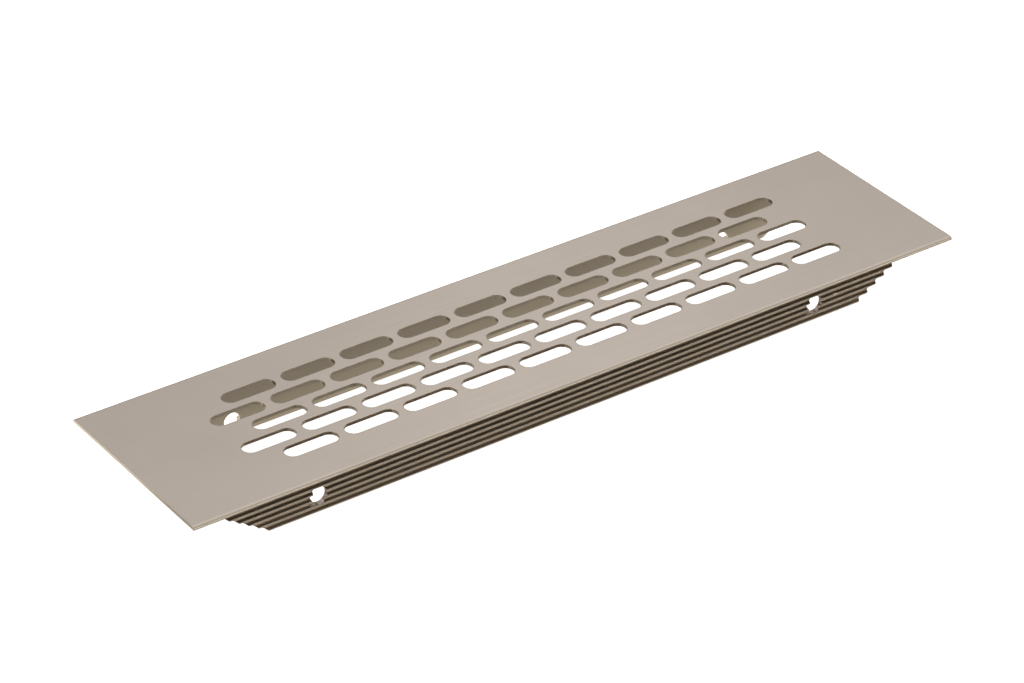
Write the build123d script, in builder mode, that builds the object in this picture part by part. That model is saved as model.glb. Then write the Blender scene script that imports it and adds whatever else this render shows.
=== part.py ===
from build123d import *
import os
from math import floor, radians, tan

# Recessed ventilation grille, extruded and punched in one piece.
# Millimetres. X runs along the grille, Z is up, and the feet of the flanges stand on Z = 0.

# Face plate, with its two long edges rounded over down to a narrow land
plate_length = 250.0
plate_width = 60.0
plate_thickness = 1.0
edge_land = 0.1

# Top of the plate down to the feet of the flanges
overall_depth = 16.2

# Channel between the flanges, and the flange webs measured in the grooves
channel_width = 41.0
web_thickness = 0.8

# Barbed ribs along the outer face of each flange: how far out their flanks would meet in a point,
# the slopes of the flatter upper flank and the steeper lower one, and the rounding of the tip
rib_pitch = 1.87
rib_reach = 1.37
rib_upper_angle = 18.0
rib_lower_angle = 35.0
rib_tip_radius = 0.22

# Tip of the lowest rib above the feet, plain band below the plate, rounding of the feet's inner edges
lowest_rib_height = 0.23
plain_band = 0.8
foot_round = 0.2

# Flange ends: set in from the ends of the plate at the root, then sloping inwards
flange_inset = 3.3
end_cut_angle = 57.2

# Slots, in rows that shift to and fro along the plate, and their offset from its middle as a whole
slot_length = 16.2
slot_width = 5.25
slot_pitch = 18.66
row_pitch = 7.6
row_stagger = 8.07
field_offset = -0.45
end_margin = 28.6
side_margin = 2.2

# Screw holes through both flanges, set in from the ends of the feet
screw_hole_diameter = 5.0
screw_hole_height = 4.5
screw_hole_inset = 15.6

# Levels and faces that follow from the sizes above
underside = overall_depth - plate_thickness
groove_face = channel_width / 2 + web_thickness
edge_round = plate_thickness - edge_land

# Ribs repeat from the lowest one up to the plain band
rib_upper_rise = rib_reach * tan(radians(rib_upper_angle))
rib_lower_drop = rib_reach * tan(radians(rib_lower_angle))
rib_count = floor((underside - plain_band - lowest_rib_height - rib_upper_rise) / rib_pitch) + 1
middle_rib_height = lowest_rib_height + (rib_count - 1) * rib_pitch / 2

# Slots fill the plate between the end margins, and the channel between its side margins
field_length = plate_length - 2 * end_margin - row_stagger
slots_per_row = floor((field_length - slot_length) / slot_pitch) + 1
row_count = floor((channel_width - 2 * side_margin - slot_width) / row_pitch) + 1

# Half-lengths of a flange at the plate and at its foot
root_half_length = plate_length / 2 - flange_inset
foot_half_length = root_half_length - underside * tan(radians(end_cut_angle))
screw_hole_x = foot_half_length - screw_hole_inset

# One rib in section, standing out from the groove face at X = 0
with BuildSketch() as rib:
    with BuildLine():
        Polyline((0, -rib_lower_drop), (rib_reach, 0), (0, rib_upper_rise), close=True)
    make_face()
    fillet(rib.vertices().sort_by(Axis.X)[-1], rib_tip_radius)

with BuildPart() as grille:

    # Cross-section at one end, drawn out along the whole length
    with BuildSketch(Plane.YZ.offset(-plate_length / 2)) as section:

        # Plate, rounded over from above
        with Locations((0, overall_depth)):
            Rectangle(plate_width, plate_thickness, align=(Align.CENTER, Align.MAX))
        fillet(section.vertices().group_by(Axis.Y)[-1], edge_round)

        # Solid block as wide as the groove faces, with a column of ribs on each side
        Rectangle(2 * groove_face, underside, align=(Align.CENTER, Align.MIN))
        with Locations((groove_face, middle_rib_height)):
            with GridLocations(rib_pitch, rib_pitch, 1, rib_count):
                add(rib.sketch)
        mirror(about=Plane.YZ)

        # Channel, which leaves the two flanges, and the level of their feet, rounded inside
        Rectangle(channel_width, underside, align=(Align.CENTER, Align.MIN), mode=Mode.SUBTRACT)
        Rectangle(plate_width, rib_pitch, align=(Align.CENTER, Align.MAX), mode=Mode.SUBTRACT)
        fillet(section.vertices().group_by(Axis.Y)[0].sort_by(Axis.X)[1:3], foot_round)
    extrude(amount=plate_length)

    # Flange ends, cut on a slope up to the root and square off the plate beyond it
    with BuildSketch(Plane.XZ) as end_waste:
        Rectangle(plate_length, underside, align=(Align.CENTER, Align.MIN))
        with BuildLine():
            Polyline(
                (-foot_half_length, 0),
                (foot_half_length, 0),
                (root_half_length, underside),
                (-root_half_length, underside),
                close=True,
            )
        make_face(mode=Mode.SUBTRACT)
    extrude(amount=plate_width, both=True, mode=Mode.SUBTRACT)

    # Slots through the plate, row by row
    with BuildSketch(Plane.XY.offset(overall_depth)) as slots:
        for row in range(row_count):
            row_shift = row_stagger / 2 if row % 2 == 0 else -row_stagger / 2
            row_y = (row - (row_count - 1) / 2) * row_pitch
            with Locations((field_offset + row_shift, row_y)):
                with GridLocations(slot_pitch, row_pitch, slots_per_row, 1):
                    SlotOverall(slot_length, slot_width)
    extrude(amount=-plate_thickness, mode=Mode.SUBTRACT)

    # Screw holes, drilled through both flanges at once
    with BuildSketch(Plane.XZ) as screw_holes:
        with Locations((0, screw_hole_height)):
            with GridLocations(2 * screw_hole_x, rib_pitch, 2, 1):
                Circle(screw_hole_diameter / 2)
    extrude(amount=plate_width / 2, both=True, mode=Mode.SUBTRACT)

grille.part.label = "grille"

os.makedirs("parts", exist_ok=True)
export_step(grille.part, "parts/grille.step")
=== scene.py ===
import bpy
from math import pi, radians
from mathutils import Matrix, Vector


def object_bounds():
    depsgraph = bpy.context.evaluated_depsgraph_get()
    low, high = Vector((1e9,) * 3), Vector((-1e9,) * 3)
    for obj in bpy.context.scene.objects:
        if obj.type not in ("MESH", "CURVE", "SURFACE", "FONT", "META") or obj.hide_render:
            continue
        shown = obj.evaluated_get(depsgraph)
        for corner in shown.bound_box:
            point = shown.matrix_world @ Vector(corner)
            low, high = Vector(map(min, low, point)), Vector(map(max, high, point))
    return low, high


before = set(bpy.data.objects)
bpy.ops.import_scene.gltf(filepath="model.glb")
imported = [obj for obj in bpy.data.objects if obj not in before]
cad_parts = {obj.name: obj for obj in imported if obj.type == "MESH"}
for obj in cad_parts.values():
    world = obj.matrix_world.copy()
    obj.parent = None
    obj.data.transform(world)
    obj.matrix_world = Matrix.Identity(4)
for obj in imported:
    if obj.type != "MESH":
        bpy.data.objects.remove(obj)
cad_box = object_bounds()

# Slotted ventilation grille of satin anodised aluminium on a plain white floor, in metres

MM = 0.001
WHITE = (1.0, 1.0, 1.0)
BLACK = (0.0, 0.0, 0.0)

# Camera: place in millimetres, with its height measured from the top of the face plate, turn in degrees,
# lens and sensor in millimetres, and how far it sees in metres
CAMERA_PLACE = (-524.69, -716.67, 559.09)
CAMERA_ROTATION = (57.545, -0.628, -35.502)
CAMERA_LENS = 136.16
CAMERA_SENSOR = 36.0
CAMERA_REACH = 50

# Anodised finish: two tones that its mottling drifts between, and its satin sheen. Each range here and below
# is the part of its noise that is spread out from none to full, and each detail its number of finer layers.
METAL_COLOUR = (0.485, 0.423, 0.366)
METAL_DARK = (0.466, 0.405, 0.349)
METAL_ROUGHNESS = 0.24
MOTTLE_SIZE = 22.0 * MM
MOTTLE_RANGE = (0.3, 0.7)
MOTTLE_DETAIL = 4.0
MOTTLE_FINENESS = 0.55

# Fine grain of the anodised skin
GRAIN_SIZE = 0.15 * MM
GRAIN_RANGE = (0.3, 0.7)
GRAIN_DETAIL = 2.0
GRAIN_ROUGHNESS = 0.02
GRAIN_BUMP = 0.03
GRAIN_DEPTH = 0.02 * MM

# Faint lines drawn along the extrusion
STREAK_WIDTH = 0.6 * MM
STREAK_STRETCH = 0.012
STREAK_RANGE = (0.35, 0.65)
STREAK_DETAIL = 3.0
STREAK_SHADE = (0.985, 0.985, 0.985)
STREAK_ROUGHNESS = 0.01

# Wear: edges rubbed brighter over this width, in full where the surface turns as far as this cosine
EDGE_WIDTH = 0.15 * MM
EDGE_TURN = 0.8
EDGE_SHADE = (0.60, 0.54, 0.48)
EDGE_WEAR = 0.12

# Edges and the facets of the small roundings are shaded as if rounded over this width
EDGE_SOFTNESS = 0.25 * MM
BEVEL_SAMPLES = 4

# Bare metal where the front flange is chipped, as centre and half-sizes: a nick in a rib, and two specks of
# a burr at a screw hole. It fades out from this share of the half-sizes.
BARE_METAL = (0.90, 0.86, 0.80)
CHIP_FADE = 0.5
CHIPS = (
    ((89.4 * MM, -22.4 * MM, 5.78 * MM), (0.80 * MM, 0.60 * MM, 0.36 * MM)),
    ((85.4 * MM, -22.3 * MM, 4.35 * MM), (0.45 * MM, 0.50 * MM, 0.30 * MM)),
    ((84.7 * MM, -22.3 * MM, 2.60 * MM), (0.35 * MM, 0.50 * MM, 0.30 * MM)),
)

# Floor, white to the camera: its tone by place across the grille, with a painted shadow (a dark strip in its
# colour) in front of the flange, and the glow that the metal mirrors from it, brighter towards the back of
# the channel
FLOOR_SIZE = 12
FLOOR_SPAN = (-60 * MM, 40 * MM)
FLOOR_FRONT = (0.82, 0.79, 0.70)
# Painted shadow: a dark floor colour over the strip in front of the flange, where the grille's shade falls
FLOOR_PAINTED_SHADOW = (0.14, 0.10, 0.04)
FLOOR_PALE = (0.86, 0.83, 0.76)
FLOOR_TONE_AND_PAINTED_SHADOW = (
    (FLOOR_SPAN[0], FLOOR_FRONT),
    (-46 * MM, FLOOR_FRONT),
    (-40 * MM, FLOOR_PAINTED_SHADOW),
    (-30 * MM, FLOOR_PAINTED_SHADOW),
    (-25 * MM, FLOOR_PALE),
    (FLOOR_SPAN[1], FLOOR_PALE),
)
GLOW_BACK = (0.55, 0.54, 0.45)
FLOOR_GLOW = (
    (FLOOR_SPAN[0], BLACK),
    (-30 * MM, BLACK),
    (-25 * MM, (0.08, 0.08, 0.065)),
    (3 * MM, (0.09, 0.09, 0.075)),
    (10 * MM, (0.32, 0.31, 0.26)),
    (20 * MM, GLOW_BACK),
    (FLOOR_SPAN[1], GLOW_BACK),
)
FLOOR_LIFT = 1.0

# Studio light round the grille, by angle up from the horizon in front, over the top, to the horizon behind,
# and below the horizon where it is under 0. The metal mirrors the first one. The second one lights the floor,
# mostly from behind.
FRONT_TINT = (1.0, 0.985, 0.90)
STUDIO_LIGHT = (
    (-180, 0.8, WHITE),
    (-6, 0.8, WHITE),
    (0, 4.6, FRONT_TINT),
    (4, 2.8, FRONT_TINT),
    (10, 0.95, FRONT_TINT),
    (18, 0.5, FRONT_TINT),
    (28, 0.55, FRONT_TINT),
    (45, 0.9, FRONT_TINT),
    (62, 0.9, WHITE),
    (79, 1.05, WHITE),
    (113, 1.2, WHITE),
    (134, 1.24, WHITE),
    (150, 0.53, WHITE),
    (180, 0.4, WHITE),
)
FLOOR_LIGHT = (
    (-180, 0.08, WHITE),
    (0, 0.08, WHITE),
    (95, 0.1, WHITE),
    (112, 0.4, WHITE),
    (120, 3.0, WHITE),
    (148, 3.0, WHITE),
    (158, 0.5, WHITE),
    (180, 0.3, WHITE),
)

# Softbox behind, mirrored in the face plate to the right of its middle
SOFTBOX_PLACE = (1.50, 2.03, 1.65)
SOFTBOX_AIM = (0, 0, 0)
SOFTBOX_SIZE = (0.4, 0.4)
SOFTBOX_POWER = 0.19


def node(tree, kind, **settings):
    """A new node with the given input values; names with an underscore stand for spaces."""
    made = tree.nodes.new(kind)
    for name, value in settings.items():
        made.inputs[name.replace("_", " ")].default_value = value
    return made


def calculate(tree, operation, one, other=None):
    """The output of a Math node on one socket, and on a second socket or a number."""
    made = tree.nodes.new("ShaderNodeMath")
    made.operation = operation
    tree.links.new(one, made.inputs[0])
    if isinstance(other, (int, float)):
        made.inputs[1].default_value = other
    elif other is not None:
        tree.links.new(other, made.inputs[1])
    return made.outputs[0]


def spread(tree, value, low, high, low_out=0.0, high_out=1.0):
    """A value spread from one range to another, and held at its ends."""
    made = node(tree, "ShaderNodeMapRange", From_Min=low, From_Max=high, To_Min=low_out, To_Max=high_out)
    tree.links.new(value, made.inputs["Value"])
    return made.outputs["Result"]


def blend(tree, share, one, other):
    """A colour between two, each of them a socket or a plain colour."""
    made = tree.nodes.new("ShaderNodeMix")
    made.data_type = "RGBA"
    tree.links.new(share, made.inputs["Factor"])
    for socket, colour in ((made.inputs["A"], one), (made.inputs["B"], other)):
        if isinstance(colour, tuple):
            socket.default_value = (*colour, 1)
        else:
            tree.links.new(colour, socket)
    return made.outputs["Result"]


def ramp(tree, share, stops):
    """A colour along stops, each of them a place from 0 to 1 and a colour."""
    made = tree.nodes.new("ShaderNodeValToRGB")
    elements = made.color_ramp.elements
    elements[0].position, elements[1].position = 0, 1
    for place, colour in stops:
        at_end = [stop for stop in elements if stop.position == place]
        stop = at_end[0] if at_end else elements.new(place)
        stop.color = (*colour, 1)
    tree.links.new(share, made.inputs["Fac"])
    return made.outputs["Color"]


def new_material(name):
    """A material with an empty node tree."""
    material = bpy.data.materials.new(name)
    material.use_nodes = True
    material.node_tree.nodes.clear()
    return material, material.node_tree


def noise(tree, place, size, detail, fineness=0.5):
    """Noise whose features are about this size."""
    made = node(tree, "ShaderNodeTexNoise", Scale=1 / size, Detail=detail, Roughness=fineness)
    tree.links.new(place, made.inputs["Vector"])
    return made.outputs["Fac"]


def chip_share(tree, place, centre, half_size):
    """1 inside an oval chip, falling to 0 at its rim."""
    offset = tree.nodes.new("ShaderNodeVectorMath")
    offset.operation = "SUBTRACT"
    offset.inputs[1].default_value = centre
    tree.links.new(place, offset.inputs[0])
    scaled = tree.nodes.new("ShaderNodeVectorMath")
    scaled.operation = "DIVIDE"
    scaled.inputs[1].default_value = half_size
    tree.links.new(offset.outputs[0], scaled.inputs[0])
    away = tree.nodes.new("ShaderNodeVectorMath")
    away.operation = "LENGTH"
    tree.links.new(scaled.outputs[0], away.inputs[0])
    return spread(tree, away.outputs["Value"], 1.0, CHIP_FADE)


def softened(tree, width):
    """The surface's normal as if its edges were rounded over this width."""
    made = node(tree, "ShaderNodeBevel", Radius=width)
    made.samples = BEVEL_SAMPLES
    return made.outputs["Normal"]


def edge_share(tree):
    """How far the surface turns within the width of an edge."""
    flat = tree.nodes.new("ShaderNodeNewGeometry")
    turned = tree.nodes.new("ShaderNodeVectorMath")
    turned.operation = "DOT_PRODUCT"
    tree.links.new(softened(tree, EDGE_WIDTH), turned.inputs[0])
    tree.links.new(flat.outputs["Normal"], turned.inputs[1])
    return spread(tree, turned.outputs["Value"], 1.0, EDGE_TURN, 0.0, EDGE_WEAR)


def anodised_metal():
    """Warm grey anodised aluminium: mottled colour, fine grain, drawn streaks, rubbed edges and chips."""
    material, tree = new_material("anodised_aluminium_satin")
    link = tree.links.new
    out = node(tree, "ShaderNodeOutputMaterial")
    shader = node(tree, "ShaderNodeBsdfPrincipled", Metallic=1.0)
    link(shader.outputs["BSDF"], out.inputs["Surface"])
    place = node(tree, "ShaderNodeTexCoord").outputs["Object"]

    drawn = node(tree, "ShaderNodeMapping", Scale=(STREAK_STRETCH, 1, 1))
    link(place, drawn.inputs["Vector"])
    mottle = noise(tree, place, MOTTLE_SIZE, MOTTLE_DETAIL, MOTTLE_FINENESS)
    streak = noise(tree, drawn.outputs["Vector"], STREAK_WIDTH, STREAK_DETAIL)
    grain = noise(tree, place, GRAIN_SIZE, GRAIN_DETAIL)

    tint = blend(tree, spread(tree, mottle, *MOTTLE_RANGE), METAL_DARK, METAL_COLOUR)
    lined = tree.nodes.new("ShaderNodeMix")
    lined.data_type = "RGBA"
    lined.blend_type = "MULTIPLY"
    link(spread(tree, streak, *STREAK_RANGE), lined.inputs["Factor"])
    link(tint, lined.inputs["A"])
    lined.inputs["B"].default_value = (*STREAK_SHADE, 1)
    worn = blend(tree, edge_share(tree), lined.outputs["Result"], EDGE_SHADE)
    chipped = [chip_share(tree, place, centre, half_size) for centre, half_size in CHIPS]
    bare = chipped[0]
    for share in chipped[1:]:
        bare = calculate(tree, "MAXIMUM", bare, share)
    link(blend(tree, bare, worn, BARE_METAL), shader.inputs["Base Color"])

    smoothest, roughest = METAL_ROUGHNESS - GRAIN_ROUGHNESS, METAL_ROUGHNESS + GRAIN_ROUGHNESS
    grained = spread(tree, grain, *GRAIN_RANGE, smoothest, roughest)
    lines = spread(tree, streak, *STREAK_RANGE, -STREAK_ROUGHNESS, STREAK_ROUGHNESS)
    link(calculate(tree, "ADD", grained, lines), shader.inputs["Roughness"])

    bump = node(tree, "ShaderNodeBump", Strength=GRAIN_BUMP, Distance=GRAIN_DEPTH)
    link(grain, bump.inputs["Height"])
    link(softened(tree, EDGE_SOFTNESS), bump.inputs["Normal"])
    link(bump.outputs["Normal"], shader.inputs["Normal"])
    return material


def seen_share(tree, rays):
    """1 on what the camera sees, straight or through a clear piece, and 0 on what lights or is mirrored."""
    return calculate(tree, "MAXIMUM", rays.outputs["Is Camera Ray"], rays.outputs["Is Transmission Ray"])


def floor_stops(colours):
    """Stops for a ramp over the floor's span, from colours by place across the grille."""
    low, high = FLOOR_SPAN
    return [((place - low) / (high - low), colour) for place, colour in colours]


def white_floor():
    """Pale floor with a painted shadow in its colour in front of the grille, lifted to white where the camera
    sees it, with a glow where the metal mirrors it.
    """
    material, tree = new_material("pale_floor_with_painted_shadow")
    link = tree.links.new
    out = node(tree, "ShaderNodeOutputMaterial")
    place = node(tree, "ShaderNodeTexCoord")
    parts = node(tree, "ShaderNodeSeparateXYZ")
    link(place.outputs["Object"], parts.inputs[0])
    across = spread(tree, parts.outputs["Y"], *FLOOR_SPAN)

    diffuse = node(tree, "ShaderNodeBsdfDiffuse")
    # The diffuse colour carries the painted shadow, a dark strip in front of the flange
    link(ramp(tree, across, floor_stops(FLOOR_TONE_AND_PAINTED_SHADOW)), diffuse.inputs["Color"])

    rays = node(tree, "ShaderNodeLightPath")
    lift = node(tree, "ShaderNodeEmission", Color=(*WHITE, 1))
    link(calculate(tree, "MULTIPLY", seen_share(tree, rays), FLOOR_LIFT), lift.inputs["Strength"])
    glow = node(tree, "ShaderNodeEmission")
    link(ramp(tree, across, floor_stops(FLOOR_GLOW)), glow.inputs["Color"])
    link(rays.outputs["Is Glossy Ray"], glow.inputs["Strength"])

    shader = diffuse
    for added in (lift, glow):
        both = node(tree, "ShaderNodeAddShader")
        link(shader.outputs[0], both.inputs[0])
        link(added.outputs[0], both.inputs[1])
        shader = both
    link(shader.outputs[0], out.inputs["Surface"])
    return material


def ring_light(tree, turn, rings):
    """A background whose strength and tint follow the angle over the long axis."""
    brightest = max(strength for angle, strength, tint in rings)
    stops = []
    for angle, strength, tint in rings:
        stops.append(((angle + 180) / 360, tuple(part * strength / brightest for part in tint)))
    lit = node(tree, "ShaderNodeBackground", Strength=brightest)
    tree.links.new(ramp(tree, turn, stops), lit.inputs["Color"])
    return lit.outputs[0]


def pick(tree, share, one, other):
    """The second of two shaders where the share is 1, and the first elsewhere."""
    made = tree.nodes.new("ShaderNodeMixShader")
    tree.links.new(share, made.inputs["Fac"])
    tree.links.new(one, made.inputs[1])
    tree.links.new(other, made.inputs[2])
    return made.outputs[0]


def area_light(name, place, aim, size, power):
    """A rectangular lamp at a place, turned to its aim."""
    lamp = bpy.data.lights.new(name, "AREA")
    lamp.shape = "RECTANGLE"
    lamp.size, lamp.size_y = size
    lamp.energy = power
    holder = bpy.data.objects.new(name, lamp)
    bpy.context.collection.objects.link(holder)
    holder.location = place
    holder.rotation_euler = (Vector(aim) - Vector(place)).to_track_quat("-Z", "Y").to_euler()
    return holder


# Finish on the grille
metal = anodised_metal()
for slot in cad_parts["grille"].material_slots:
    slot.material = metal

# Floor
bpy.ops.mesh.primitive_plane_add(size=FLOOR_SIZE)
floor = bpy.context.object
floor.name = "floor"
floor.data.materials.append(white_floor())

# World: white to the camera, one ring light for what the floor gathers and another for what metal mirrors
world = bpy.data.worlds.new("studio")
bpy.context.scene.world = world
world.use_nodes = True
tree = world.node_tree
tree.nodes.clear()
world_out = node(tree, "ShaderNodeOutputWorld")
rays = node(tree, "ShaderNodeLightPath")
heading = node(tree, "ShaderNodeTexCoord")
parts = node(tree, "ShaderNodeSeparateXYZ")
tree.links.new(heading.outputs["Generated"], parts.inputs[0])
front = calculate(tree, "MULTIPLY", parts.outputs["Y"], -1)
turn = spread(tree, calculate(tree, "ARCTAN2", parts.outputs["Z"], front), -pi, pi)
white = node(tree, "ShaderNodeBackground", Color=(*WHITE, 1), Strength=1.0)
studio = ring_light(tree, turn, STUDIO_LIGHT)
on_floor = ring_light(tree, turn, FLOOR_LIGHT)
lit = pick(tree, rays.outputs["Is Diffuse Ray"], studio, on_floor)
tree.links.new(pick(tree, seen_share(tree, rays), lit, white.outputs[0]), world_out.inputs["Surface"])

# Lamps
area_light("back_softbox", SOFTBOX_PLACE, SOFTBOX_AIM, SOFTBOX_SIZE, SOFTBOX_POWER)

# Camera
camera_data = bpy.data.cameras.new("camera")
camera_data.lens = CAMERA_LENS
camera_data.sensor_width = CAMERA_SENSOR
camera_data.clip_end = CAMERA_REACH
camera = bpy.data.objects.new("camera", camera_data)
bpy.context.collection.objects.link(camera)
plate_top = cad_box[1].z
camera.location = Vector(CAMERA_PLACE) * MM + Vector((0, 0, plate_top))
camera.rotation_euler = [radians(angle) for angle in CAMERA_ROTATION]
bpy.context.scene.camera = camera

bpy.context.scene.view_settings.view_transform = "Standard"
